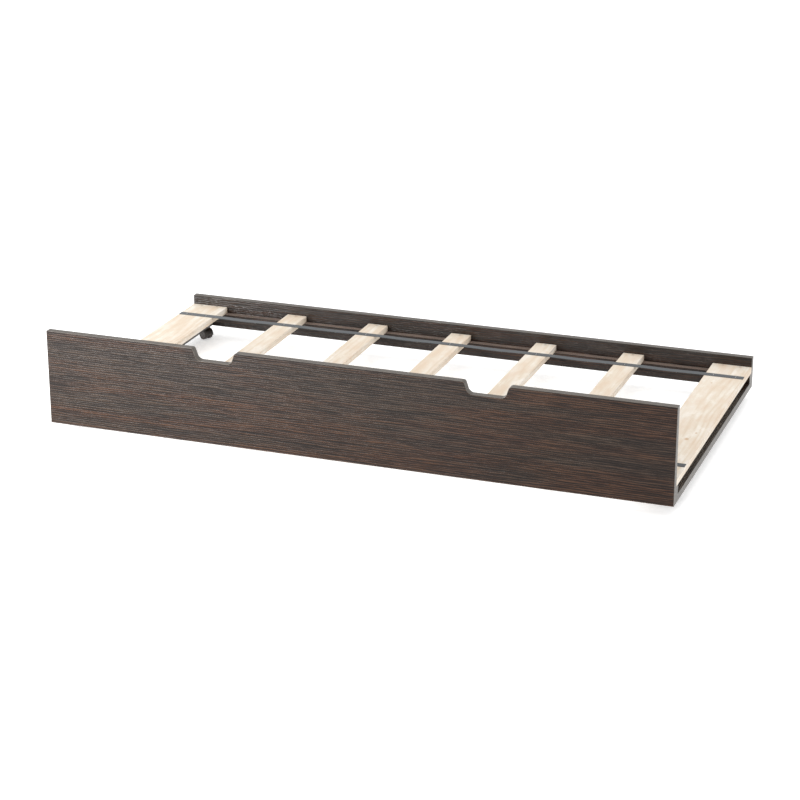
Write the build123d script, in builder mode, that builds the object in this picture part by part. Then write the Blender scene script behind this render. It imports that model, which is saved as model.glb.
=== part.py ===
from build123d import *
from math import cos, radians, sin
import os

# Trundle bed: a low wheeled bed that rolls out from under a taller one.
# Two laminated panels, a tall one in front and a low one behind, are tied together at each end
# by a flat rail. A ledger along each panel carries a roll-out base of seven slats on two straps.
# Four twin-wheel casters swivel under the rails.
#
# Millimetres. The origin is on the floor under the middle of the bed, +X runs along its length,
# the front panel is on the -Y side, and +Z is up. Every fastener fills its own hole exactly.

# ---- driving dimensions ----------------------------------------------------------------------

LENGTH = 1920
DEPTH = 1044
BOARD = 22                      # thickness of the panels, rails and ledgers
FRONT_HEIGHT = 291
BACK_HEIGHT = 101
FLOOR_GAP = 40                  # from the floor to the underside of the panels and rails
BAND = 1                        # thickness of the plastic edge band

GRIP_OFFSET = 416               # middle of each finger cut-out from the middle of the panel
GRIP_WIDTH = 133                # between the unrounded top corners of a cut-out
GRIP_DEPTH = 36
GRIP_SLOPE = 12                 # how far each side of a cut-out leans in on its way down
GRIP_TOP_RADIUS = 9
GRIP_BOTTOM_RADIUS = 19

RAIL_WIDTH = 66
LEDGER_HEIGHT = 29

SLAT_THICK = 20
SLAT_WIDTH = 68
END_SLAT_WIDTH = 124
SLAT_GAP = 222
SLAT_COUNT = 7
SLAT_CLEARANCE = 1.5            # between a slat's end and the panel
SLAT_ROUNDING = 1.5

STRAP_WIDTH = 25
STRAP_THICK = 1.5
STRAP_OFFSET = 387.5            # middle of each strap from the middle of the bed
STRAP_INSET = 2                 # from the strap's end to the outer edge of an end slat

STAPLE_CROWN = 12
STAPLE_LEG = 14
STAPLE_WIRE_WIDTH = 1.2
STAPLE_WIRE_THICK = 0.6
END_SLAT_STAPLE_SPREAD = 70     # between the two staples where a strap crosses an end slat

SCREW_RADIUS = 2
SCREW_HEAD_RADIUS = 3.75
SCREW_TIP = 4
SLAT_SCREW_LENGTH = 32
END_SLAT_SCREW_SPREAD = 54
LEDGER_SCREW_LENGTH = 36
RAIL_SCREW_LENGTH = 40
RAIL_SCREW_SPREAD = 54
CASTER_SCREW_LENGTH = 16
HEAD_ANGLE = 90

DOWEL_RADIUS = 4
DOWEL_LENGTH = 30
DOWEL_IN_PANEL = 12

WHEEL_RADIUS = 17.5
WHEEL_WIDTH = 12.5
WHEEL_INNER_EDGE = 1
WHEEL_OUTER_EDGE = 3.5            # rounding of the tread
WHEEL_RIM = 5                   # width of the raised ring on a wheel's outer face
WHEEL_DISH = 1.5
WHEEL_CAP_RADIUS = 5
WHEEL_BORE_DEPTH = 10
WHEEL_GAP = 0.5                 # between a wheel and the web of the caster body
AXLE_RADIUS = 2.5
AXLE_PLAY = 0.1
AXLE_END_PLAY = 0.5
TRAIL = 17                      # from the swivel axis to the axle

PLATE_SIZE = 38
PLATE_THICK = 2
PLATE_CORNER = 5
PLATE_HOLE_SPACING = 28
KINGPIN_RADIUS = 2.5
KINGPIN_PLAY = 0.1
KINGPIN_BOTTOM = 13             # height of the kingpin's lower end above the floor
WASHER_THICK = 0.85
COLLAR_RADIUS = 6.5
COLLAR_HEIGHT = 4
COLLAR_GAP = 1                  # between the caster body and the plate
WEB_THICK = 8
WEB_DROP = 8                    # how far the web reaches below the axle
WEB_AFT = 12                    # how far the web reaches behind the axle
HOOD_CLEARANCE = 0.6
HOOD_THICK = 1.4
HOOD_START = -8                 # angle of the hood's trailing edge above the axle
HOOD_SWEEP = 172

# swivel axis of each caster, and the way its wheels trail when the bed stands still
CASTER_INSET = 40               # from the bed's ends to the swivel axes
FRONT_CASTER_SETBACK = 112      # from the front face to the front casters' swivel axes
BACK_CASTER_SETBACK = 41.5      # from the back face to the back casters' swivel axes
TRAIL_ANGLES = {
    "front_left": 40,
    "front_right": 140,
    "back_left": -30,
    "back_right": 205,
}

# ---- derived levels and positions ------------------------------------------------------------

half_length = LENGTH / 2
half_depth = DEPTH / 2
inner_face = half_depth - BOARD             # the panels' inner faces are at plus and minus this Y
rail_top = FLOOR_GAP + BOARD
ledger_top = rail_top + LEDGER_HEIGHT
slat_top = ledger_top + SLAT_THICK
strap_top = slat_top + STRAP_THICK
rail_x = half_length - RAIL_WIDTH / 2       # middle of each end rail
ledger_y = inner_face - BOARD / 2           # middle of each ledger
slat_length = 2 * (inner_face - SLAT_CLEARANCE)
slat_pitch = SLAT_GAP + SLAT_WIDTH
end_slat_x = half_length - END_SLAT_WIDTH / 2
middle_slats = SLAT_COUNT - 2

slat_places = [(-end_slat_x, END_SLAT_WIDTH)]
for index in range(middle_slats):
    slat_places.append(((index - (middle_slats - 1) / 2) * slat_pitch, SLAT_WIDTH))
slat_places.append((end_slat_x, END_SLAT_WIDTH))
slat_names = ["end_slat_left"]
slat_names += [f"slat_{number}" for number in range(2, SLAT_COUNT)]
slat_names += ["end_slat_right"]

UP = (0, 0, 1)
DOWN = (0, 0, -1)
front_plane = Plane.XZ.offset(inner_face)            # faces -Y, on the front panel's inner face
back_plane = Plane.XZ.offset(-half_depth)            # faces -Y, on the back panel's outer face

plate_bottom = FLOOR_GAP - PLATE_THICK
body_top = plate_bottom - COLLAR_GAP


def save(part, name):
    """Name a finished piece and write it to its own file."""
    part.label = name
    export_step(part, f"parts/{name}.step")


def screw(length):
    """A countersunk screw hanging down from the origin, its head flush with Z = 0."""
    neck = SCREW_HEAD_RADIUS - SCREW_RADIUS
    with BuildPart() as body:
        with BuildSketch(Plane.XZ):
            with BuildLine():
                Polyline(
                    (0, 0),
                    (SCREW_HEAD_RADIUS, 0),
                    (SCREW_RADIUS, -neck),
                    (SCREW_RADIUS, SCREW_TIP - length),
                    (0, -length),
                    close=True,
                )
            make_face()
        revolve(axis=Axis.Z)
    return body.part


def screw_hole(length):
    """The countersunk hole that such a screw fills, at each active location."""
    CounterSinkHole(
        radius=SCREW_RADIUS,
        counter_sink_radius=SCREW_HEAD_RADIUS,
        depth=length,
        counter_sink_angle=HEAD_ANGLE,
    )


def facing(x, y, z, direction):
    """A plane at a fastener's head, looking back out of the wood along direction."""
    return Plane(origin=(x, y, z), z_dir=direction)


# ---- places of the fasteners -----------------------------------------------------------------

def across(x, width, spread):
    """One place in the middle of an ordinary slat, two on a wide end slat."""
    if width == SLAT_WIDTH:
        return [x]
    return [x - spread / 2, x + spread / 2]


slat_screw_seats = [
    facing(screw_x, side * ledger_y, slat_top, UP)
    for slat_x, slat_width in slat_places
    for screw_x in across(slat_x, slat_width, END_SLAT_SCREW_SPREAD)
    for side in (-1, 1)
]
staple_spots = [
    (staple_x, side * STRAP_OFFSET)
    for slat_x, slat_width in slat_places
    for staple_x in across(slat_x, slat_width, END_SLAT_STAPLE_SPREAD)
    for side in (-1, 1)
]

# the ledger screws sit under the gaps between the slats
ledger_screw_z = rail_top + LEDGER_HEIGHT / 2
ledger_screw_xs = [(index - middle_slats / 2) * slat_pitch for index in range(middle_slats + 1)]
ledger_screw_seats = {
    side: [
        facing(screw_x, side * (inner_face - BOARD), ledger_screw_z, (0, -side, 0))
        for screw_x in ledger_screw_xs
    ]
    for side in (-1, 1)
}

rail_screw_seats = [
    facing(end * rail_x + shift * RAIL_SCREW_SPREAD / 2, side * ledger_y, FLOOR_GAP, DOWN)
    for end in (-1, 1)
    for side in (-1, 1)
    for shift in (-1, 1)
]

dowel_z = FLOOR_GAP + BOARD / 2
dowel_mouths = {
    side: [facing(end * rail_x, side * inner_face, dowel_z, (0, -side, 0)) for end in (-1, 1)]
    for side in (-1, 1)
}

caster_places = {}
for corner, angle in TRAIL_ANGLES.items():
    caster_x = half_length - CASTER_INSET
    if "left" in corner:
        caster_x = -caster_x
    caster_y = half_depth - BACK_CASTER_SETBACK
    if "front" in corner:
        caster_y = FRONT_CASTER_SETBACK - half_depth
    caster_places[corner] = (caster_x, caster_y, radians(angle))

hole_shift = PLATE_HOLE_SPACING / 2
caster_screw_seats = [
    facing(x + dx * hole_shift, y + dy * hole_shift, plate_bottom, DOWN)
    for x, y, _ in caster_places.values()
    for dx in (-1, 1)
    for dy in (-1, 1)
]


# ---- panels and their edge bands -------------------------------------------------------------

def draw_front_outline():
    """The front panel's outline with its two finger cut-outs, in the active sketch."""
    with Locations((0, FLOOR_GAP + FRONT_HEIGHT / 2)):
        Rectangle(LENGTH, FRONT_HEIGHT)
    half_top = GRIP_WIDTH / 2
    half_bottom = half_top - GRIP_SLOPE
    for centre in (-GRIP_OFFSET, GRIP_OFFSET):
        with Locations((centre, FLOOR_GAP + FRONT_HEIGHT)):
            Polygon(
                (-half_top, 0),
                (-half_bottom, -GRIP_DEPTH),
                (half_bottom, -GRIP_DEPTH),
                (half_top, 0),
                align=None,
                mode=Mode.SUBTRACT,
            )
    fillet(vertices().group_by(Axis.Y)[1], GRIP_BOTTOM_RADIUS)
    reach = GRIP_OFFSET + GRIP_WIDTH
    lips = vertices().group_by(Axis.Y)[-1].filter_by_position(Axis.X, -reach, reach)
    fillet(lips, GRIP_TOP_RADIUS)


def draw_back_outline():
    """The back panel's outline, in the active sketch."""
    with Locations((0, FLOOR_GAP + BACK_HEIGHT / 2)):
        Rectangle(LENGTH, BACK_HEIGHT)


for side, plane, draw_outline, name in (
    (-1, front_plane, draw_front_outline, "front_panel"),
    (1, back_plane, draw_back_outline, "back_panel"),
):
    # the core is drilled from its inner face for the ledger screws and the dowels
    with BuildPart() as panel:
        with BuildSketch(plane):
            draw_outline()
            offset(amount=-BAND)
        extrude(amount=BOARD)
        with Locations(*ledger_screw_seats[side]):
            Hole(SCREW_RADIUS, depth=LEDGER_SCREW_LENGTH)
        with Locations(*dowel_mouths[side]):
            Hole(DOWEL_RADIUS, depth=DOWEL_IN_PANEL)
    save(panel.part, name)

    # the band runs round all four edges and through the finger cut-outs
    with BuildPart() as edging:
        with BuildSketch(plane):
            draw_outline()
        extrude(amount=BOARD)
        with BuildSketch(plane):
            draw_outline()
            offset(amount=-BAND)
        extrude(amount=BOARD, mode=Mode.SUBTRACT)
    save(edging.part, f"{name}_edging")


# ---- ledgers and end rails -------------------------------------------------------------------

for side, name in ((-1, "front_ledger"), (1, "back_ledger")):
    with BuildPart() as ledger:
        with BuildSketch(Plane.XY.offset(rail_top)):
            with Locations((0, side * ledger_y)):
                Rectangle(LENGTH - 2 * BAND, BOARD)
        extrude(amount=LEDGER_HEIGHT)
        with Locations(*ledger_screw_seats[side]):
            screw_hole(LEDGER_SCREW_LENGTH)
        with Locations(*slat_screw_seats):
            Hole(SCREW_RADIUS, depth=SLAT_SCREW_LENGTH)
        with Locations(*rail_screw_seats):
            Hole(SCREW_RADIUS, depth=RAIL_SCREW_LENGTH)
    save(ledger.part, name)

with BuildPart() as ledger_end_caps:
    with BuildSketch(Plane.XY.offset(rail_top)):
        with GridLocations(LENGTH - BAND, 2 * ledger_y, 2, 2):
            Rectangle(BAND, BOARD)
    extrude(amount=LEDGER_HEIGHT)
save(ledger_end_caps.part, "ledger_end_caps")

for end, name in ((-1, "left_end_rail"), (1, "right_end_rail")):
    with BuildPart() as rail:
        with BuildSketch(Plane.XY.offset(FLOOR_GAP)):
            with Locations((end * (rail_x - BAND / 2), 0)):
                Rectangle(RAIL_WIDTH - BAND, 2 * inner_face)
        extrude(amount=BOARD)
        with Locations(*rail_screw_seats):
            screw_hole(RAIL_SCREW_LENGTH)
        with Locations(*caster_screw_seats):
            Hole(SCREW_RADIUS, depth=CASTER_SCREW_LENGTH)
        with Locations(*dowel_mouths[-1], *dowel_mouths[1]):
            with Locations((0, 0, DOWEL_LENGTH - DOWEL_IN_PANEL)):
                Hole(DOWEL_RADIUS, depth=DOWEL_LENGTH - DOWEL_IN_PANEL)
    save(rail.part, name)

    with BuildPart() as rail_edging:
        with BuildSketch(Plane.XY.offset(FLOOR_GAP)):
            with Locations((end * (half_length - BAND / 2), 0)):
                Rectangle(BAND, 2 * inner_face)
        extrude(amount=BOARD)
    save(rail_edging.part, f"{name}_edging")


# ---- slatted base ----------------------------------------------------------------------------

def cut_staple_slots():
    """Slots for the staple legs, cut down from the top of the straps in the active part."""
    with BuildSketch(Plane.XY.offset(strap_top)) as slots:
        with Locations(*staple_spots):
            with GridLocations(0, STAPLE_CROWN - STAPLE_WIRE_THICK, 1, 2):
                Rectangle(STAPLE_WIRE_WIDTH, STAPLE_WIRE_THICK)
    extrude(slots.sketch, amount=-STAPLE_LEG, mode=Mode.SUBTRACT)


for (slat_x, slat_width), name in zip(slat_places, slat_names):
    with BuildPart() as slat:
        with BuildSketch(Plane.XY.offset(ledger_top)):
            with Locations((slat_x, 0)):
                Rectangle(slat_width, slat_length)
        extrude(amount=SLAT_THICK)
        fillet(edges().filter_by(Axis.Y), SLAT_ROUNDING)
        with Locations(*slat_screw_seats):
            screw_hole(SLAT_SCREW_LENGTH)
        cut_staple_slots()
    save(slat.part, name)

for side, name in ((-1, "strap_front"), (1, "strap_back")):
    with BuildPart() as strap:
        with BuildSketch(Plane.XY.offset(slat_top)):
            with Locations((0, side * STRAP_OFFSET)):
                Rectangle(LENGTH - 2 * STRAP_INSET, STRAP_WIDTH)
        extrude(amount=STRAP_THICK)
        cut_staple_slots()
    save(strap.part, name)

with BuildPart() as strap_staples:
    with BuildSketch(Plane.XY.offset(strap_top)):
        with Locations(*staple_spots):
            with GridLocations(0, STAPLE_CROWN - STAPLE_WIRE_THICK, 1, 2):
                Rectangle(STAPLE_WIRE_WIDTH, STAPLE_WIRE_THICK)
    extrude(amount=-STAPLE_LEG)
    with BuildSketch(Plane.XY.offset(strap_top)):
        with Locations(*staple_spots):
            Rectangle(STAPLE_WIRE_WIDTH, STAPLE_CROWN)
    extrude(amount=STAPLE_WIRE_THICK)
save(strap_staples.part, "strap_staples")


# ---- screws and dowels -----------------------------------------------------------------------

for name, length, seats in (
    ("slat_screws", SLAT_SCREW_LENGTH, slat_screw_seats),
    ("ledger_screws", LEDGER_SCREW_LENGTH, ledger_screw_seats[-1] + ledger_screw_seats[1]),
    ("rail_screws", RAIL_SCREW_LENGTH, rail_screw_seats),
    ("caster_screws", CASTER_SCREW_LENGTH, caster_screw_seats),
):
    one_screw = screw(length)
    with BuildPart() as screws:
        with Locations(*seats):
            add(one_screw)
    save(screws.part, name)

with BuildPart() as rail_dowels:
    with Locations(*dowel_mouths[-1], *dowel_mouths[1]):
        with Locations((0, 0, DOWEL_LENGTH / 2 - DOWEL_IN_PANEL)):
            Cylinder(DOWEL_RADIUS, DOWEL_LENGTH)
save(rail_dowels.part, "rail_dowels")


# ---- casters ---------------------------------------------------------------------------------

hood_inner = WHEEL_RADIUS + HOOD_CLEARANCE
hood_outer = hood_inner + HOOD_THICK
wheel_start = WEB_THICK / 2 + WHEEL_GAP         # from the middle of the caster to a wheel
half_body = wheel_start + WHEEL_WIDTH
axle_length = 2 * (wheel_start + WHEEL_BORE_DEPTH - AXLE_END_PLAY)
web_bottom = WHEEL_RADIUS - WEB_DROP

for corner, (x, y, angle) in caster_places.items():
    trail = Vector(cos(angle), sin(angle), 0)
    sideways = Vector(-sin(angle), cos(angle), 0)
    swivel = Vector(x, y, 0)
    axle_middle = swivel + trail * TRAIL + Vector(0, 0, WHEEL_RADIUS)
    side_plane = Plane(origin=axle_middle, x_dir=trail, z_dir=-sideways)

    # the plate lies square to the bed, whichever way the caster points
    with BuildPart() as plate:
        with BuildSketch(Plane(origin=(x, y, plate_bottom))):
            RectangleRounded(PLATE_SIZE, PLATE_SIZE, PLATE_CORNER)
            Circle(KINGPIN_RADIUS, mode=Mode.SUBTRACT)
        extrude(amount=PLATE_THICK)
        with Locations(*caster_screw_seats):
            screw_hole(CASTER_SCREW_LENGTH)
    save(plate.part, f"{corner}_caster_plate")

    # a web between the wheels holds the axle and the kingpin, and carries a hood over both wheels
    with BuildPart() as body:
        with BuildSketch(side_plane):
            Circle(hood_outer)
            with Locations((WEB_AFT - hood_outer, hood_outer / 2 - WEB_DROP / 2)):
                Rectangle(2 * hood_outer, hood_outer + WEB_DROP, mode=Mode.INTERSECT)
        extrude(amount=WEB_THICK / 2, both=True)
        with BuildSketch(side_plane):
            with BuildLine():
                outer = CenterArc((0, 0), hood_outer, HOOD_START, HOOD_SWEEP)
                inner = CenterArc((0, 0), hood_inner, HOOD_START, HOOD_SWEEP)
                Line(outer @ 0, inner @ 0)
                Line(outer @ 1, inner @ 1)
            make_face()
        extrude(amount=half_body, both=True)
        with BuildSketch(Plane(origin=(x, y, web_bottom))):
            Circle(WEB_THICK / 2)
        extrude(amount=body_top - web_bottom)
        with BuildSketch(Plane(origin=(x, y, body_top))):
            Circle(COLLAR_RADIUS)
        extrude(amount=-COLLAR_HEIGHT)
        with BuildSketch(side_plane):
            Circle(AXLE_RADIUS)
        extrude(amount=WEB_THICK / 2, both=True, mode=Mode.SUBTRACT)
        with Locations((x, y, body_top)):
            Hole(KINGPIN_RADIUS + KINGPIN_PLAY, depth=body_top - KINGPIN_BOTTOM + AXLE_END_PLAY)
    save(body.part, f"{corner}_caster_body")

    with BuildPart() as axle:
        with BuildSketch(side_plane):
            Circle(AXLE_RADIUS)
        extrude(amount=axle_length / 2, both=True)
    save(axle.part, f"{corner}_axle")

    # each wheel is turned about the axle, dished outside, with a blind bore that opens inwards
    for hand, wheel_name in ((1, "wheel_a"), (-1, "wheel_b")):
        turning_plane = Plane(
            origin=axle_middle + sideways * hand * wheel_start,
            x_dir=trail,
            z_dir=(0, 0, hand),
        )
        bore = AXLE_RADIUS + AXLE_PLAY
        rim = WHEEL_RADIUS - WHEEL_RIM
        dish = WHEEL_WIDTH - WHEEL_DISH
        cap = WHEEL_WIDTH - WHEEL_DISH / 3
        with BuildPart() as wheel:
            with BuildSketch(turning_plane):
                with BuildLine():
                    Polyline(
                        (bore, 0),
                        (WHEEL_RADIUS, 0),
                        (WHEEL_RADIUS, WHEEL_WIDTH),
                        (rim, WHEEL_WIDTH),
                        (rim - WHEEL_DISH, dish),
                        (WHEEL_CAP_RADIUS + WHEEL_DISH, dish),
                        (WHEEL_CAP_RADIUS, cap),
                        (0, cap),
                        (0, WHEEL_BORE_DEPTH),
                        (bore, WHEEL_BORE_DEPTH),
                        close=True,
                    )
                make_face()
                tread = vertices().group_by(Axis.X)[-1].sort_by(Axis.Y)
                fillet(tread[0], WHEEL_INNER_EDGE)
                fillet(vertices().group_by(Axis.X)[-1].sort_by(Axis.Y)[-1], WHEEL_OUTER_EDGE)
            revolve(axis=Axis(turning_plane.origin, turning_plane.y_dir))
        save(wheel.part, f"{corner}_{wheel_name}")

# each kingpin is riveted into its plate and turns in the caster body
swivel_points = [(x, y) for x, y, _ in caster_places.values()]
with BuildPart() as kingpins:
    with BuildSketch(Plane.XY.offset(KINGPIN_BOTTOM)):
        with Locations(*swivel_points):
            Circle(KINGPIN_RADIUS)
    extrude(amount=FLOOR_GAP - KINGPIN_BOTTOM)
save(kingpins.part, "kingpins")

with BuildPart() as swivel_washers:
    with BuildSketch(Plane.XY.offset(plate_bottom)):
        with Locations(*swivel_points):
            Circle(COLLAR_RADIUS)
        with Locations(*swivel_points):
            Circle(KINGPIN_RADIUS, mode=Mode.SUBTRACT)
    extrude(amount=-WASHER_THICK)
save(swivel_washers.part, "swivel_washers")
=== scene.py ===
import bpy
import bmesh
import random
from math import atan2, cos, pi, radians, sin
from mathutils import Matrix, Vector


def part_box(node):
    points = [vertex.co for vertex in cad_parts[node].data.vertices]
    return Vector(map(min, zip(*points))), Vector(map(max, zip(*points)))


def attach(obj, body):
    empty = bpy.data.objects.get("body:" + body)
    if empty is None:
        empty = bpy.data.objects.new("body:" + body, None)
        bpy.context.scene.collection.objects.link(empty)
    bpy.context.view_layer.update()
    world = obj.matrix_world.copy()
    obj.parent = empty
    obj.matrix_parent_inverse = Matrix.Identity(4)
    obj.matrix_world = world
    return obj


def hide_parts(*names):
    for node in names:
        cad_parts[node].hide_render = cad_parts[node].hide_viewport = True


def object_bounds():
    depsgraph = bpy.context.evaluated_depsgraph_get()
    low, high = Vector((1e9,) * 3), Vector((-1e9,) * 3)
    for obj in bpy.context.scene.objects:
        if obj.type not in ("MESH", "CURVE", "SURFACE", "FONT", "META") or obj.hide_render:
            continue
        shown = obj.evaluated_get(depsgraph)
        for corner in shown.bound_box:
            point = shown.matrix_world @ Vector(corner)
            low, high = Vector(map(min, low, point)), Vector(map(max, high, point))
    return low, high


# A trundle bed: laminated panels and rails, a softwood slatted base held by two webbing straps,
# and four twin-wheel casters. Metres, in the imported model's own frame: +X along the bed, the tall
# front panel on the -Y side, the floor at Z = 0.

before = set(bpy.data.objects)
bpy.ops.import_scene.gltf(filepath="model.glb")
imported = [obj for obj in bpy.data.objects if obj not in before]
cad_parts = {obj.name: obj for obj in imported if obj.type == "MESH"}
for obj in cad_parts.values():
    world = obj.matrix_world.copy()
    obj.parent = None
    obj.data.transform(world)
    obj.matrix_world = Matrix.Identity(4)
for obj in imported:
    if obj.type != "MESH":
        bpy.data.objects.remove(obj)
cad_low, cad_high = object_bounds()

MM = 0.001
CORNERS = ("front_left", "front_right", "back_left", "back_right")
SLATS = ("end_slat_left", "slat_2", "slat_3", "slat_4", "slat_5", "slat_6", "end_slat_right")

PINSTRIPE = 6.6 * MM            # pitch of the fine dark lines in the laminate's grain
STRIPE_WANDER = 13              # radians by which those lines stray from straight
LAMINATE_RELIEF = 0.38 * MM

BAND_ROUNDING = 0.4 * MM        # softened arris of the plastic edge bands
SLAT_ROUNDING = 1.5 * MM
LEDGER_ROUNDING = 1.6 * MM      # worn arris of the glued-on ledger strips
KNOTS = (                       # on the right end slat: from its near left corner, and radius
    (77 * MM, 316 * MM, 4.5 * MM),
    (92 * MM, 372 * MM, 2.5 * MM),
    (38 * MM, 812 * MM, 2.0 * MM),
)

WARP_CORDS = 12                 # raised cords across the width of a strap
WEAVE_PITCH = 4.8 * MM          # one over-and-under of the weave along a strap
WEAVE_STEPS = 3                 # rows of points in one pitch
WEAVE_RELIEF = 0.13 * MM
UNDERSIDE_RELIEF = 0.2          # of the relief on top
SELVEDGE_THINNING = 0.35        # of the strap's thickness, taken off each face at its edges
STRAP_SAG = 1.2 * MM            # of a strap between two slats

STAPLE_CROWN = 12 * MM
STAPLE_LEG = 14 * MM
STAPLE_WIRE = 1.2 * MM          # width of the flat wire
STAPLE_THICK = 0.6 * MM
STAPLE_ARRIS = 0.12 * MM
STAPLE_SINK = 0.25 * MM         # how far a crown is pulled down into the webbing
STAPLE_TURN = 0.06              # radians by which a staple is driven askew
BEND_STEPS = 4                  # steps round a staple's bend
END_SLAT_STAPLE_SPREAD = 70 * MM

END_SLAT_SCREW_SPREAD = 54 * MM
RAIL_SCREW_SPREAD = 54 * MM
RAIL_MIDDLE_IN = 33 * MM        # from the bed's end to the middle of its rail
LEDGER_SCREW_SPACING = 290 * MM
LEDGER_SCREWS = 6               # in each ledger
PLATE_HOLE_SPACING = 28 * MM

SCREW_RADIUS = 2 * MM
SCREW_ROOT = 1.4 * MM
SCREW_HEAD_RADIUS = 3.7 * MM
SCREW_HEAD_RIM = 0.4 * MM
SCREW_THREAD_PITCH = 1.8 * MM
SCREW_POINT = 4 * MM
SLAT_SCREW = 32 * MM            # lengths
LEDGER_SCREW = 36 * MM
RAIL_SCREW = 40 * MM
PLATE_SCREW = 16 * MM
RECESS_ARM = 0.55 * MM          # half the width of one arm of the cross recess
RECESS_REACH = 2.3 * MM
RECESS_DEPTH = 1.3 * MM

FLOOR_REACH = 30
FLOOR_GLOW = 0.38
SKY_STRENGTH = 0.93
CAMERA_PLACE = (2.22306, -6.16690, 2.45071)
CAMERA_AIM = (-0.32233, 0.88210, -0.34351)
CAMERA_LENS = 101.88            # millimetres, on a sensor 36 wide

UP = (0, 0, 1)
DOWN = (0, 0, -1)
SEED = 7


# ---- small helpers ---------------------------------------------------------------------------

def new_object(name, mesh):
    """Puts a mesh in the scene as a piece at the origin."""
    piece = bpy.data.objects.new(name, mesh)
    bpy.context.scene.collection.objects.link(piece)
    return piece


def mesh_from(name, points, faces, smooth=False):
    """A mesh from lists of points and faces, with its faces turned outwards."""
    mesh = bpy.data.meshes.new(name)
    mesh.from_pydata(points, [], faces)
    shell = bmesh.new()
    shell.from_mesh(mesh)
    bmesh.ops.remove_doubles(shell, verts=shell.verts, dist=1e-7)
    bmesh.ops.recalc_face_normals(shell, faces=shell.faces)
    for face in shell.faces:
        face.smooth = smooth
    shell.to_mesh(mesh)
    shell.free()
    return mesh


def settle(piece):
    """Turns a piece's modifiers into plain mesh."""
    graph = bpy.context.evaluated_depsgraph_get()
    graph.update()
    mesh = bpy.data.meshes.new_from_object(piece.evaluated_get(graph))
    piece.modifiers.clear()
    piece.data = mesh


def bevel(piece, width, segments=2):
    """Rounds a piece's sharp edges."""
    rounding = piece.modifiers.new("rounding", "BEVEL")
    rounding.width = width
    rounding.segments = segments
    rounding.limit_method = "ANGLE"
    rounding.angle_limit = radians(35)
    rounding.harden_normals = False
    settle(piece)


def finish_piece(piece, material, body, slot, *nodes):
    """Gives a piece its finish and its body, and hides the CAD nodes it stands for."""
    piece.data.materials.clear()
    piece.data.materials.append(material)
    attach(piece, body)
    if nodes:
        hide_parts(*nodes)


def coat(node, material):
    """Gives a CAD node, whose shape is kept, its finish."""
    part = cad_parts[node]
    if not part.material_slots:
        part.data.materials.append(material)
    for holder in part.material_slots:
        holder.material = material


def middle(node):
    """The middle of a CAD node's box."""
    low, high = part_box(node)
    return (low + high) / 2


def add_node(tree, kind, inputs=None, **settings):
    """Adds a node to a tree, its inputs given as values or as other nodes' sockets."""
    made = tree.nodes.new(kind)
    for label, value in settings.items():
        setattr(made, label, value)
    for label, value in (inputs or {}).items():
        if isinstance(value, bpy.types.NodeSocket):
            tree.links.new(value, made.inputs[label])
        else:
            made.inputs[label].default_value = value
    return made


# ---- shader helpers --------------------------------------------------------------------------

class Finish:
    """A material under construction: its node tree, its shader, and where its pattern sits."""

    def __init__(self, name, roughness, settings=None):
        self.material = bpy.data.materials.new(name)
        self.material.use_nodes = True
        self.tree = self.material.node_tree
        self.shader = self.tree.nodes["Principled BSDF"]
        self.shader.inputs["Roughness"].default_value = roughness
        for label, value in (settings or {}).items():
            self.shader.inputs[label].default_value = value
        self.place = self.node("ShaderNodeTexCoord").outputs["Object"]

    def node(self, kind, inputs=None, **settings):
        """Adds a node to the material."""
        return add_node(self.tree, kind, inputs, **settings)

    def stretched(self, scale, place=None):
        """The pattern's coordinates, scaled along each axis."""
        inputs = {"Vector": place or self.place, "Scale": scale}
        return self.node("ShaderNodeMapping", inputs).outputs["Vector"]

    def noise(self, scale, detail=3, roughness=0.55, place=None):
        """Noise with its own number of features per metre along each axis."""
        inputs = {
            "Vector": self.stretched(scale, place),
            "Scale": 1,
            "Detail": detail,
            "Roughness": roughness,
        }
        return self.node("ShaderNodeTexNoise", inputs).outputs["Fac"]

    def spread(self, value, low, high, new_low=0, new_high=1):
        """Maps one range of values onto another, clamped."""
        inputs = {
            "Value": value,
            "From Min": low,
            "From Max": high,
            "To Min": new_low,
            "To Max": new_high,
        }
        return self.node("ShaderNodeMapRange", inputs).outputs["Result"]

    def maths(self, operation, first, second):
        """One sum of two values or sockets."""
        return self.node("ShaderNodeMath", {0: first, 1: second}, operation=operation).outputs[0]

    def ramp(self, value, *stops):
        """Colours along a value, each stop a place and a linear colour."""
        made = self.node("ShaderNodeValToRGB", {"Fac": value})
        elements = made.color_ramp.elements
        while len(elements) < len(stops):
            elements.new(0.5)
        for element, (position, colour) in zip(elements, stops):
            element.position = position
            element.color = (*colour, 1)
        return made.outputs["Color"]

    def mix(self, amount, first, second, blend="MIX"):
        """One colour laid over another."""
        made = self.node("ShaderNodeMix", data_type="RGBA", blend_type=blend)
        colours = [socket for socket in made.inputs if socket.type == "RGBA"]
        for socket, value in zip((made.inputs[0], *colours), (amount, first, second)):
            if isinstance(value, bpy.types.NodeSocket):
                self.tree.links.new(value, socket)
            else:
                socket.default_value = value if socket.type == "VALUE" else (*value, 1)
        return [socket for socket in made.outputs if socket.type == "RGBA"][0]

    def colour(self, value):
        self.tree.links.new(value, self.shader.inputs["Base Color"])

    def roughness(self, value):
        self.tree.links.new(value, self.shader.inputs["Roughness"])

    def bump(self, height, distance, strength=1):
        """Relief that is distance high."""
        inputs = {"Height": height, "Distance": distance, "Strength": strength}
        normal = self.node("ShaderNodeBump", inputs).outputs["Normal"]
        self.tree.links.new(normal, self.shader.inputs["Normal"])


# ---- materials -------------------------------------------------------------------------------

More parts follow.
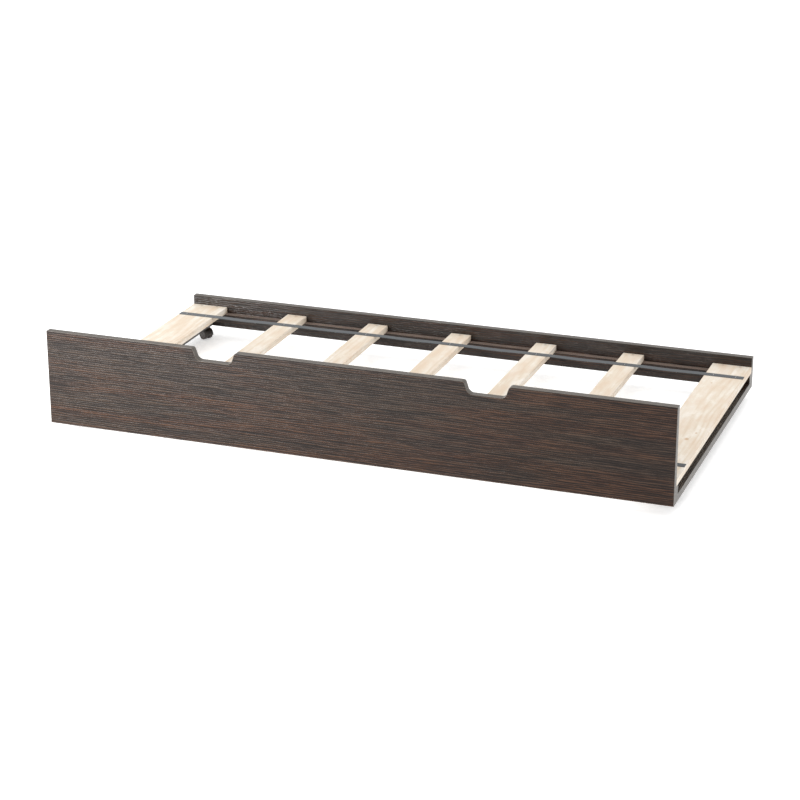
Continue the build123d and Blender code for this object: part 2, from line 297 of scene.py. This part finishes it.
def laminate(name, along, shine, matt=0.48, top_highlight_tone=None):
    """Dark streaked wood-grain laminate, its grain along one axis; a given top colour is a painted
    highlight on its upward-facing faces.
    """
    finish = Finish(name, 0.4, {"Specular IOR Level": shine})

    def grain(length_rate, cross_rate):
        rates = [cross_rate] * 3
        rates[along] = length_rate
        return rates

    broad = finish.noise(grain(1.2, 14), detail=2)
    streaks = finish.noise(grain(9, 290), detail=2, roughness=0.5)
    pores = finish.noise(grain(30, 900), detail=2, roughness=0.6)
    sides = finish.node("ShaderNodeSeparateXYZ", {0: finish.place}).outputs
    across = finish.maths("ADD", sides["Z"], sides["Y" if along == 0 else "X"])
    wander = finish.maths("MULTIPLY", finish.noise(grain(6.5, 70), detail=2), STRIPE_WANDER)
    phase = finish.maths("ADD", finish.maths("MULTIPLY", across, 2 * pi / PINSTRIPE), wander)
    stripe = finish.maths("MULTIPLY", finish.maths("SINE", phase, 0), 0.11)
    blend = finish.maths(
        "ADD", finish.maths("MULTIPLY", streaks, 0.55), finish.maths("MULTIPLY", pores, 0.45)
    )
    tone = finish.spread(finish.maths("ADD", blend, stripe), 0.36, 0.64)
    brown = finish.ramp(
        tone,
        (0.0, (0.0035, 0.0019, 0.0013)),
        (0.4, (0.009, 0.0049, 0.0031)),
        (0.75, (0.021, 0.0124, 0.0082)),
        (1.0, (0.037, 0.025, 0.018)),
    )
    warmth = finish.spread(finish.noise(grain(1.6, 26), detail=2), 0.42, 0.62)
    colour = finish.mix(warmth, brown, (1.34, 1.0, 0.80), blend="MULTIPLY")
    smear = finish.maths(
        "ADD", finish.maths("MULTIPLY", tone, -0.34), finish.maths("MULTIPLY", broad, 0.1)
    )
    finish.roughness(finish.maths("ADD", smear, matt))
    # Painted highlight: upward-facing faces are paled towards the given top colour, as if lit from
    # above.
    if top_highlight_tone:
        facing = finish.node("ShaderNodeTexCoord").outputs["Normal"]
        upward = finish.node("ShaderNodeSeparateXYZ", {0: facing}).outputs["Z"]
        painted_top_highlight = finish.mix(tone, (0.105, 0.080, 0.068), top_highlight_tone)
        colour = finish.mix(finish.spread(upward, 0.5, 0.8), colour, painted_top_highlight)
    finish.colour(colour)
    finish.bump(tone, LAMINATE_RELIEF)
    return finish.material


def edge_band():
    """Grey-brown plastic band with a faint lengthwise streak."""
    finish = Finish("edge_band", roughness=0.38)
    streak = finish.noise((30, 30, 260), detail=3)
    speck = finish.noise((900, 900, 900), detail=1)
    finish.colour(finish.ramp(streak, (0.3, (0.055, 0.045, 0.036)), (0.7, (0.082, 0.068, 0.055))))
    finish.roughness(finish.spread(speck, 0.3, 0.7, 0.33, 0.45))
    finish.bump(speck, 0.02 * MM, 0.4)
    return finish.material


def softwood():
    """Planed pale softwood whose rings run lengthwise through each slat, with a few knots."""
    finish = Finish("pale_softwood", roughness=0.55)
    shift = finish.node("ShaderNodeAttribute", attribute_name="grain_shift").outputs["Vector"]
    moved = finish.node("ShaderNodeVectorMath", {0: finish.place, 1: shift}).outputs["Vector"]
    wander = finish.noise((5, 1.1, 5), detail=2, place=moved)
    bent = finish.node(
        "ShaderNodeVectorMath",
        {0: moved, 1: finish.maths("MULTIPLY", wander, 0.05)},
    ).outputs["Vector"]
    rings = finish.node(
        "ShaderNodeTexWave",
        {
            "Vector": finish.stretched((1, 0.05, 1), bent),
            "Scale": 30,
            "Distortion": 4.0,
            "Detail": 3,
            "Detail Scale": 2.0,
        },
        wave_type="RINGS",
        rings_direction="Y",
    ).outputs["Fac"]
    fibres = finish.noise((300, 9, 300), detail=4, place=moved)
    blotches = finish.noise((24, 9, 24), detail=4, roughness=0.65, place=moved)
    tone = finish.maths(
        "ADD", finish.maths("MULTIPLY", rings, 0.35), finish.maths("MULTIPLY", fibres, 0.65)
    )
    pale = finish.ramp(
        tone,
        (0.2, (0.74, 0.68, 0.60)),
        (0.55, (0.70, 0.625, 0.52)),
        (0.9, (0.60, 0.485, 0.36)),
    )
    wood = finish.mix(finish.spread(blotches, 0.42, 0.66, 0, 0.7), pale, (0.64, 0.495, 0.365))
    wood = finish.mix(finish.spread(blotches, 0.44, 0.30, 0, 0.7), wood, (0.82, 0.76, 0.69))
    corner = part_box("end_slat_right")[0]
    for along_x, along_y, radius in KNOTS:
        knot = (corner.x + along_x, 0.7 * (corner.y + along_y), 0)
        away = finish.node(
            "ShaderNodeVectorMath",
            {0: finish.stretched((1, 0.7, 0)), 1: knot},
            operation="DISTANCE",
        ).outputs["Value"]
        rough_away = finish.maths("ADD", away, finish.maths("MULTIPLY", fibres, radius))
        wood = finish.mix(
            finish.spread(rough_away, radius, 2.4 * radius, 0.75, 0), wood, (0.46, 0.25, 0.10)
        )
    finish.colour(wood)
    finish.roughness(finish.spread(tone, 0.2, 0.8, 0.5, 0.66))
    finish.bump(tone, 0.10 * MM, 0.5)
    return finish.material


def webbing():
    """Slate-grey woven strap, with painted shade darkening it between its cords."""
    finish = Finish("strap_webbing", 0.72, {"Sheen Weight": 0.2, "Sheen Roughness": 0.4})
    cord = finish.node("ShaderNodeAttribute", attribute_name="weave_height").outputs["Fac"]
    fuzz = finish.noise((1400, 1400, 1400), detail=2)
    fade = finish.noise((6, 60, 6), detail=2)
    # Painted shade: the colour darkens where the weave sits low between the cords.
    tone = finish.maths(
        "ADD", finish.maths("MULTIPLY", cord, 0.7), finish.maths("MULTIPLY", fuzz, 0.3)
    )
    colour = finish.ramp(
        tone,
        (0.1, (0.034, 0.038, 0.042)),
        (0.6, (0.075, 0.083, 0.090)),
        (0.95, (0.118, 0.130, 0.138)),
    )
    faded = finish.spread(fade, 0.3, 0.7, 0, 0.3)
    finish.colour(finish.mix(faded, colour, (0.065, 0.075, 0.085)))
    finish.bump(fuzz, 0.05 * MM, 0.5)
    return finish.material


def zinc(name, tint, roughness):
    """Dull zinc plate with a mottled bloom."""
    finish = Finish(name, roughness, {"Metallic": 1.0})
    bloom = finish.noise((160, 160, 160), detail=4)
    dark = tuple(0.72 * part for part in tint)
    finish.colour(finish.ramp(bloom, (0.3, dark), (0.7, tint)))
    finish.roughness(finish.spread(bloom, 0.3, 0.7, roughness - 0.07, roughness + 0.1))
    finish.bump(bloom, 0.02 * MM, 0.3)
    return finish.material


def moulded(name, tint, roughness):
    """Dark moulded plastic with a fine spark-eroded grain."""
    finish = Finish(name, roughness=roughness)
    pebble = finish.noise((2600, 2600, 2600), detail=1)
    flow = finish.noise((70, 70, 70), detail=2)
    light = tuple(1.45 * part for part in tint)
    finish.colour(finish.ramp(flow, (0.3, tint), (0.7, light)))
    finish.roughness(finish.spread(flow, 0.3, 0.7, roughness - 0.06, roughness + 0.08))
    finish.bump(pebble, 0.03 * MM, 0.5)
    return finish.material


def dowel_wood():
    """Plain beech with short flecks along the dowel."""
    finish = Finish("beech_dowel", roughness=0.6)
    flecks = finish.noise((420, 60, 420), detail=3)
    finish.colour(finish.ramp(flecks, (0.3, (0.50, 0.33, 0.19)), (0.7, (0.66, 0.48, 0.30))))
    finish.bump(flecks, 0.05 * MM, 0.4)
    return finish.material


laminate_front = laminate("laminate_front", along=0, shine=0.17)
laminate_long = laminate("laminate_lengthwise", along=0, shine=0.36, matt=0.4)
laminate_cross = laminate("laminate_crosswise", along=1, shine=0.4)
# The ledger strips get a painted highlight on their upward-facing tops.
laminate_strip = laminate("laminate_ledger", along=0, shine=0.3, top_highlight_tone=(0.25, 0.185, 0.15))
band_grey = edge_band()
pale_wood = softwood()
strap_grey = webbing()
zinc_bright = zinc("zinc_steel", (0.66, 0.65, 0.62), 0.36)
zinc_dull = zinc("caster_steel", (0.34, 0.33, 0.31), 0.46)
nylon_body = moulded("caster_plastic", (0.016, 0.012, 0.010), 0.34)
nylon_wheel = moulded("wheel_plastic", (0.024, 0.018, 0.015), 0.36)
beech = dowel_wood()


# ---- boards and their edge bands -------------------------------------------------------------

coat("front_panel", laminate_front)
coat("back_panel", laminate_long)
for board in ("left_end_rail", "right_end_rail"):
    coat(board, laminate_cross)


def joined_copy(node):
    """A CAD node's shape with its doubles merged and its flat faces joined, ready to round."""
    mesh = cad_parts[node].data.copy()
    shell = bmesh.new()
    shell.from_mesh(mesh)
    bmesh.ops.remove_doubles(shell, verts=shell.verts, dist=1e-6)
    bmesh.ops.dissolve_limit(
        shell, angle_limit=radians(0.5), verts=shell.verts, edges=shell.edges
    )
    shell.to_mesh(mesh)
    shell.free()
    return mesh


for board in ("front_panel", "back_panel", "left_end_rail", "right_end_rail"):
    band = new_object(f"{board}_band", joined_copy(f"{board}_edging"))
    bevel(band, BAND_ROUNDING)
    finish_piece(band, band_grey, "root", "edge_band", f"{board}_edging")
for ledger in ("front_ledger", "back_ledger"):
    strip = new_object(f"{ledger}_strip", joined_copy(ledger))
    bevel(strip, LEDGER_ROUNDING, 3)
    finish_piece(strip, laminate_strip, "root", "dark_laminate", ledger)
coat("ledger_end_caps", band_grey)


# ---- slats -----------------------------------------------------------------------------------

def input_sockets(tree, *wanted):
    """Gives a geometry tree its named inputs and its one output."""
    tree.interface.new_socket("Geometry", in_out="OUTPUT", socket_type="NodeSocketGeometry")
    for label, kind in wanted:
        tree.interface.new_socket(label, in_out="INPUT", socket_type=f"NodeSocket{kind}")
    return tree.nodes.new("NodeGroupInput").outputs


def close_tree(tree, geometry, material):
    """Ends a tree in real geometry with its material."""
    realized = add_node(tree, "GeometryNodeRealizeInstances", {"Geometry": geometry})
    painted = add_node(
        tree, "GeometryNodeSetMaterial", {"Geometry": realized.outputs[0], "Material": material}
    )
    out = tree.nodes.new("NodeGroupOutput")
    tree.links.new(painted.outputs[0], out.inputs[0])


def build_from(tree, piece, values):
    """Runs a geometry tree on a piece and keeps its result as a plain mesh."""
    builder = piece.modifiers.new("build", "NODES")
    builder.node_group = tree
    for item in tree.interface.items_tree:
        if item.in_out == "INPUT" and item.name in values:
            builder[item.identifier] = values[item.name]
    settle(piece)


def slat_tree():
    """A planed slat: a rounded section swept along Y, marked with its own place in the log."""
    tree = bpy.data.node_groups.new("slat", "GeometryNodeTree")
    given = input_sockets(
        tree,
        ("Width", "Float"),
        ("Thickness", "Float"),
        ("Rounding", "Float"),
        ("Start", "Vector"),
        ("End", "Vector"),
        ("Grain Shift", "Vector"),
    )
    section = add_node(
        tree,
        "GeometryNodeCurvePrimitiveQuadrilateral",
        {"Width": given["Width"], "Height": given["Thickness"]},
    )
    rounded = add_node(
        tree,
        "GeometryNodeFilletCurve",
        {"Curve": section.outputs[0], "Radius": given["Rounding"], "Count": 3},
        mode="POLY",
    )
    line = add_node(
        tree, "GeometryNodeCurvePrimitiveLine", {"Start": given["Start"], "End": given["End"]}
    )
    upright = add_node(
        tree, "GeometryNodeSetCurveNormal", {"Curve": line.outputs[0]}, mode="Z_UP"
    )
    swept = add_node(
        tree,
        "GeometryNodeCurveToMesh",
        {"Curve": upright.outputs[0], "Profile Curve": rounded.outputs[0], "Fill Caps": True},
    )
    marked = add_node(
        tree,
        "GeometryNodeStoreNamedAttribute",
        {"Geometry": swept.outputs[0], "Name": "grain_shift", "Value": given["Grain Shift"]},
        data_type="FLOAT_VECTOR",
        domain="POINT",
    )
    close_tree(tree, marked.outputs[0], pale_wood)
    return tree


chance = random.Random(SEED)
slat_builder = slat_tree()
for slat in SLATS:
    low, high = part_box(slat)
    centre = (low + high) / 2
    log_place = Vector(
        (chance.uniform(-0.06, 0.06), chance.uniform(-3, 3), chance.uniform(0.02, 0.07))
    )
    piece = new_object(f"{slat}_planed", bpy.data.meshes.new(f"{slat}_planed"))
    build_from(
        slat_builder,
        piece,
        {
            "Width": high.x - low.x,
            "Thickness": high.z - low.z,
            "Rounding": SLAT_ROUNDING,
            "Start": (centre.x, low.y, centre.z),
            "End": (centre.x, high.y, centre.z),
            "Grain Shift": tuple(log_place - Vector((centre.x, 0, centre.z))),
        },
    )
    finish_piece(piece, pale_wood, "root", "pale_softwood", slat)


# ---- webbing straps --------------------------------------------------------------------------

def strap_drop(x):
    """How far a strap hangs below the slats' tops at x."""
    for (_, start), (end, _) in zip(slat_spans, slat_spans[1:]):
        if start < x < end:
            return STRAP_SAG * sin(pi * (x - start) / (end - start)) ** 2
    return 0


slat_spans = [(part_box(slat)[0].x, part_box(slat)[1].x) for slat in SLATS]

for strap in ("strap_front", "strap_back"):
    low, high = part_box(strap)
    pitches = round((high.x - low.x) / WEAVE_PITCH)
    rows = pitches * WEAVE_STEPS
    columns = WARP_CORDS * 2
    thickness = high.z - low.z - WEAVE_RELIEF
    top, bottom, heights = [], [], []
    for row in range(rows + 1):
        x = low.x + (high.x - low.x) * row / rows
        fall = strap_drop(x)
        for column in range(columns + 1):
            across = column / columns
            y = low.y + (high.y - low.y) * across
            cord = (1 - cos(2 * pi * across * WARP_CORDS)) / 2
            over = 0.5 + 0.5 * cos(2 * pi * row / WEAVE_STEPS + pi * (column // 2))
            height = cord * over
            heights.append(height)
            thinning = SELVEDGE_THINNING * thickness if column in (0, columns) else 0
            upper = low.z + thickness - thinning + WEAVE_RELIEF * height
            lower = low.z + thinning + WEAVE_RELIEF * UNDERSIDE_RELIEF * height
            top.append((x, y, upper - fall))
            bottom.append((x, y, lower - fall))
    width = columns + 1
    count = len(top)
    faces = []
    for row in range(rows):
        for column in range(columns):
            a = row * width + column
            faces.append((a, a + width, a + width + 1, a + 1))
            faces.append((count + a, count + a + 1, count + a + width + 1, count + a + width))
        for edge in (0, columns):
            a = row * width + edge
            faces.append((a, a + width, count + a + width, count + a))
    for end in (0, rows):
        for column in range(columns):
            a = end * width + column
            faces.append((a, a + 1, count + a + 1, count + a))
    mesh = mesh_from(strap, top + bottom, faces, smooth=True)
    weave = mesh.attributes.new("weave_height", "FLOAT", "POINT")
    weave.data.foreach_set("value", heights + heights)
    piece = new_object(f"{strap}_webbing", mesh)
    finish_piece(piece, strap_grey, "root", "strap_webbing", strap)


# ---- staples and screws ----------------------------------------------------------------------

def fastener_tree():
    """One fastener set at every spot, facing the way the spot says and turned by chance."""
    tree = bpy.data.node_groups.new("fasteners", "GeometryNodeTree")
    given = input_sockets(
        tree,
        ("Spots", "Geometry"),
        ("Fastener", "Object"),
        ("Metal", "Material"),
        ("Least Turn", "Float"),
        ("Most Turn", "Float"),
        ("Seed", "Int"),
    )
    shape = add_node(tree, "GeometryNodeObjectInfo", {"Object": given["Fastener"]})
    facing = add_node(
        tree, "GeometryNodeInputNamedAttribute", {"Name": "facing"}, data_type="FLOAT_VECTOR"
    )
    upright = add_node(
        tree,
        "FunctionNodeAlignRotationToVector",
        {"Vector": facing.outputs["Attribute"]},
        axis="Z",
    )
    chance_turn = add_node(
        tree,
        "FunctionNodeRandomValue",
        {2: given["Least Turn"], 3: given["Most Turn"], "Seed": given["Seed"]},
        data_type="FLOAT",
    )
    about_axis = add_node(tree, "ShaderNodeCombineXYZ", {"Z": chance_turn.outputs[1]})
    spin = add_node(tree, "FunctionNodeEulerToRotation", {0: about_axis.outputs[0]})
    turned = add_node(
        tree,
        "FunctionNodeRotateRotation",
        {"Rotation": upright.outputs[0], "Rotate By": spin.outputs[0]},
        rotation_space="LOCAL",
    )
    placed = add_node(
        tree,
        "GeometryNodeInstanceOnPoints",
        {
            "Points": given["Spots"],
            "Instance": shape.outputs["Geometry"],
            "Rotation": turned.outputs[0],
        },
    )
    close_tree(tree, placed.outputs[0], given["Metal"])
    return tree


fastener_builder = fastener_tree()


def fit_fasteners(name, node, shape, metal, spots, facing, turn=pi):
    """Sets one fastener at every spot, and lets the set stand for its CAD node."""
    pattern = new_object(f"{name}_pattern", shape)
    mesh = bpy.data.meshes.new(name)
    mesh.from_pydata([tuple(spot) for spot in spots], [], [])
    ways = mesh.attributes.new("facing", "FLOAT_VECTOR", "POINT")
    ways.data.foreach_set("vector", [part for way in facing for part in way])
    piece = new_object(name, mesh)
    values = {
        "Fastener": pattern,
        "Metal": metal,
        "Least Turn": -turn,
        "Most Turn": turn,
        "Seed": SEED,
    }
    build_from(fastener_builder, piece, values)
    bpy.data.objects.remove(pattern)
    finish_piece(piece, metal, "root", "zinc_steel", node)


def rings_to_mesh(name, rings, smooth=True):
    """A closed skin over rings of points, its first and last rings drawn to a middle point."""
    points = [point for ring in rings for point in ring]
    size = len(rings[0])
    faces = []
    for row in range(len(rings) - 1):
        for step in range(size):
            a = row * size + step
            b = row * size + (step + 1) % size
            faces.append((a, b, b + size, a + size))
    for start, ring in ((0, rings[0]), (len(points) - size, rings[-1])):
        centre = len(points)
        points.append(tuple(sum(part) / size for part in zip(*ring)))
        for step in range(size):
            faces.append((start + step, start + (step + 1) % size, centre))
    return mesh_from(name, points, faces, smooth)


def staple_mesh():
    """One flat-wire staple, its crown's top at the origin and its legs pointing down."""
    half = (STAPLE_CROWN - STAPLE_THICK) / 2
    bend = STAPLE_THICK
    path = [(-half, -STAPLE_LEG, pi / 2)]
    for step in range(BEND_STEPS + 1):
        turn = pi / 2 * step / BEND_STEPS
        path.append((-half + bend * (1 - cos(turn)), bend * (sin(turn) - 1), pi / 2 - turn))
    for step in range(BEND_STEPS + 1):
        turn = pi / 2 * step / BEND_STEPS
        path.append((half - bend * (1 - sin(turn)), bend * (cos(turn) - 1), -turn))
    path.append((half, -STAPLE_LEG, -pi / 2))
    corner = STAPLE_ARRIS
    wide = STAPLE_WIRE / 2
    thick = STAPLE_THICK / 2
    section = (
        (wide, thick - corner),
        (wide - corner, thick),
        (corner - wide, thick),
        (-wide, thick - corner),
        (-wide, corner - thick),
        (corner - wide, -thick),
        (wide - corner, -thick),
        (wide, corner - thick),
    )
    rings = []
    for y, z, heading in path:
        ring = []
        for across, out in section:
            ring.append((across, y - out * sin(heading), z - thick + out * cos(heading)))
        rings.append(ring)
    return rings_to_mesh("staple", rings, smooth=False)


def recess_radius(angle):
    """How far out the cross recess reaches at an angle."""
    folded = abs((angle + pi / 4) % (pi / 2) - pi / 4)
    if folded < atan2(RECESS_ARM, RECESS_REACH):
        return RECESS_REACH / cos(folded)
    return RECESS_ARM / sin(folded)


def screw_mesh(length):
    """A countersunk cross-recess wood screw, the top of its head at the origin."""
    corner = atan2(RECESS_ARM, RECESS_REACH)
    # Angles across one arm of the cross, with a point just past each corner of its end.
    in_arm = (-pi / 4, -0.5, -0.34, -corner - 0.001, 0, corner + 0.001, 0.34, 0.5)
    angles = [quarter * pi / 2 + angle for quarter in range(4) for angle in in_arm]

    def ring(radius, z):
        return [(radius * cos(angle), radius * sin(angle), z) for angle in angles]

    def recess(shrink, z):
        reaches = [shrink * recess_radius(angle) for angle in angles]
        return [(far * cos(angle), far * sin(angle), z) for far, angle in zip(reaches, angles)]

    cone = SCREW_HEAD_RADIUS - SCREW_RADIUS
    rings = [
        recess(0.5, -RECESS_DEPTH),
        recess(0.62, -RECESS_DEPTH),
        recess(0.97, -0.1 * MM),
        recess(1.06, 0),
        ring(SCREW_HEAD_RADIUS - 0.25 * MM, 0),
        ring(SCREW_HEAD_RADIUS, -0.15 * MM),
        ring(SCREW_HEAD_RADIUS, -SCREW_HEAD_RIM),
        ring(SCREW_RADIUS, -SCREW_HEAD_RIM - cone),
    ]
    z = -length / 3
    while z > SCREW_POINT - length:
        rings.append(ring(SCREW_ROOT, z))
        rings.append(ring(SCREW_RADIUS, z - SCREW_THREAD_PITCH / 2))
        z -= SCREW_THREAD_PITCH
    rings.append(ring(SCREW_ROOT, SCREW_POINT - length))
    rings.append(ring(0.15 * MM, -length))
    return rings_to_mesh("screw", rings, smooth=False)


staple_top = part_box("strap_front")[1].z + STAPLE_THICK - STAPLE_SINK
slat_screw_spots = []
staple_spots = []
for slat in SLATS:
    low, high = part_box(slat)
    centre = (low.x + high.x) / 2
    places = (-0.5, 0.5) if slat.startswith("end") else (0,)
    for place in places:
        for strap in ("strap_front", "strap_back"):
            staple_x = centre + place * END_SLAT_STAPLE_SPREAD
            staple_spots.append((staple_x, middle(strap).y, staple_top))
        for ledger in ("front_ledger", "back_ledger"):
            screw_x = centre + place * END_SLAT_SCREW_SPREAD
            slat_screw_spots.append((screw_x, middle(ledger).y, high.z))

fit_fasteners(
    "staples",
    "strap_staples",
    staple_mesh(),
    zinc_bright,
    staple_spots,
    [UP] * len(staple_spots),
    STAPLE_TURN,
)
fit_fasteners(
    "slat_screws_set",
    "slat_screws",
    screw_mesh(SLAT_SCREW),
    zinc_bright,
    slat_screw_spots,
    [UP] * len(slat_screw_spots),
)

ledger_spots = []
ledger_facing = []
for ledger, inner, way in (("front_ledger", 1, 1), ("back_ledger", 0, -1)):
    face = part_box(ledger)[inner].y
    for place in range(LEDGER_SCREWS // 2):
        for side in (-1, 1):
            screw_x = side * (place + 0.5) * LEDGER_SCREW_SPACING
            ledger_spots.append((screw_x, face, middle(ledger).z))
            ledger_facing.append((0, way, 0))
fit_fasteners(
    "ledger_screws_set",
    "ledger_screws",
    screw_mesh(LEDGER_SCREW),
    zinc_dull,
    ledger_spots,
    ledger_facing,
)

rail_spots = []
for rail, end in (("left_end_rail", -1), ("right_end_rail", 1)):
    for ledger in ("front_ledger", "back_ledger"):
        for side in (-0.5, 0.5):
            screw_x = end * (cad_high.x - RAIL_MIDDLE_IN) + side * RAIL_SCREW_SPREAD
            rail_spots.append((screw_x, middle(ledger).y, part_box(rail)[0].z))
fit_fasteners(
    "rail_screws_set",
    "rail_screws",
    screw_mesh(RAIL_SCREW),
    zinc_bright,
    rail_spots,
    [DOWN] * len(rail_spots),
)

plate_spots = []
for corner in CORNERS:
    plate = f"{corner}_caster_plate"
    centre = middle(plate)
    for across in (-0.5, 0.5):
        for along in (-0.5, 0.5):
            screw_x = centre.x + across * PLATE_HOLE_SPACING
            screw_y = centre.y + along * PLATE_HOLE_SPACING
            plate_spots.append((screw_x, screw_y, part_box(plate)[0].z))
fit_fasteners(
    "caster_screws_set",
    "caster_screws",
    screw_mesh(PLATE_SCREW),
    zinc_dull,
    plate_spots,
    [DOWN] * len(plate_spots),
)

coat("rail_dowels", beech)


# ---- casters ---------------------------------------------------------------------------------

coat("kingpins", zinc_dull)
coat("swivel_washers", zinc_dull)
for corner in CORNERS:
    coat(f"{corner}_caster_plate", zinc_dull)
    coat(f"{corner}_axle", zinc_dull)
    coat(f"{corner}_caster_body", nylon_body)
    coat(f"{corner}_wheel_a", nylon_wheel)
    coat(f"{corner}_wheel_b", nylon_wheel)


# ---- floor, light and camera -----------------------------------------------------------------

def pale_floor():
    """A wide pale floor under the bed."""
    corners = [(-1, -1), (1, -1), (1, 1), (-1, 1)]
    points = [(FLOOR_REACH * x, FLOOR_REACH * y, 0) for x, y in corners]
    mesh = mesh_from("floor", points, [(0, 1, 2, 3)])
    glow = {
        "Base Color": (0.92, 0.92, 0.92, 1),
        "Emission Color": (1, 1, 1, 1),
        "Emission Strength": FLOOR_GLOW,
    }
    mesh.materials.append(Finish("pale_floor", 0.9, glow).material)
    return new_object("floor", mesh)


pale_floor()


def softbox(name, place, aim, size, power):
    """A square soft light that faces a point."""
    lamp = bpy.data.lights.new(name, "AREA")
    lamp.shape = "SQUARE"
    lamp.size = size
    lamp.energy = power
    holder = bpy.data.objects.new(name, lamp)
    bpy.context.scene.collection.objects.link(holder)
    holder.location = place
    holder.rotation_euler = (Vector(aim) - Vector(place)).to_track_quat("-Z", "Y").to_euler()
    holder.visible_camera = False


softbox("overhead_softbox", place=(0.4, -1.0, 4.6), aim=(0, 0.1, 0.1), size=4.5, power=90)
softbox("low_left_softbox", place=(-1.8, -3.0, 0.75), aim=(-0.5, -0.5, 0.2), size=1.4, power=180)

sky = bpy.data.worlds.new("studio")
sky.use_nodes = True
glow = sky.node_tree.nodes["Background"].inputs
glow["Color"].default_value = (1, 1, 1, 1)
glow["Strength"].default_value = SKY_STRENGTH
bpy.context.scene.world = sky
bpy.context.scene.view_settings.view_transform = "Standard"

lens = bpy.data.cameras.new("camera")
lens.sensor_width = 36
lens.lens = CAMERA_LENS
camera = bpy.data.objects.new("camera", lens)
bpy.context.scene.collection.objects.link(camera)
camera.location = CAMERA_PLACE
camera.rotation_euler = Vector(CAMERA_AIM).to_track_quat("-Z", "Y").to_euler()
bpy.context.scene.camera = camera
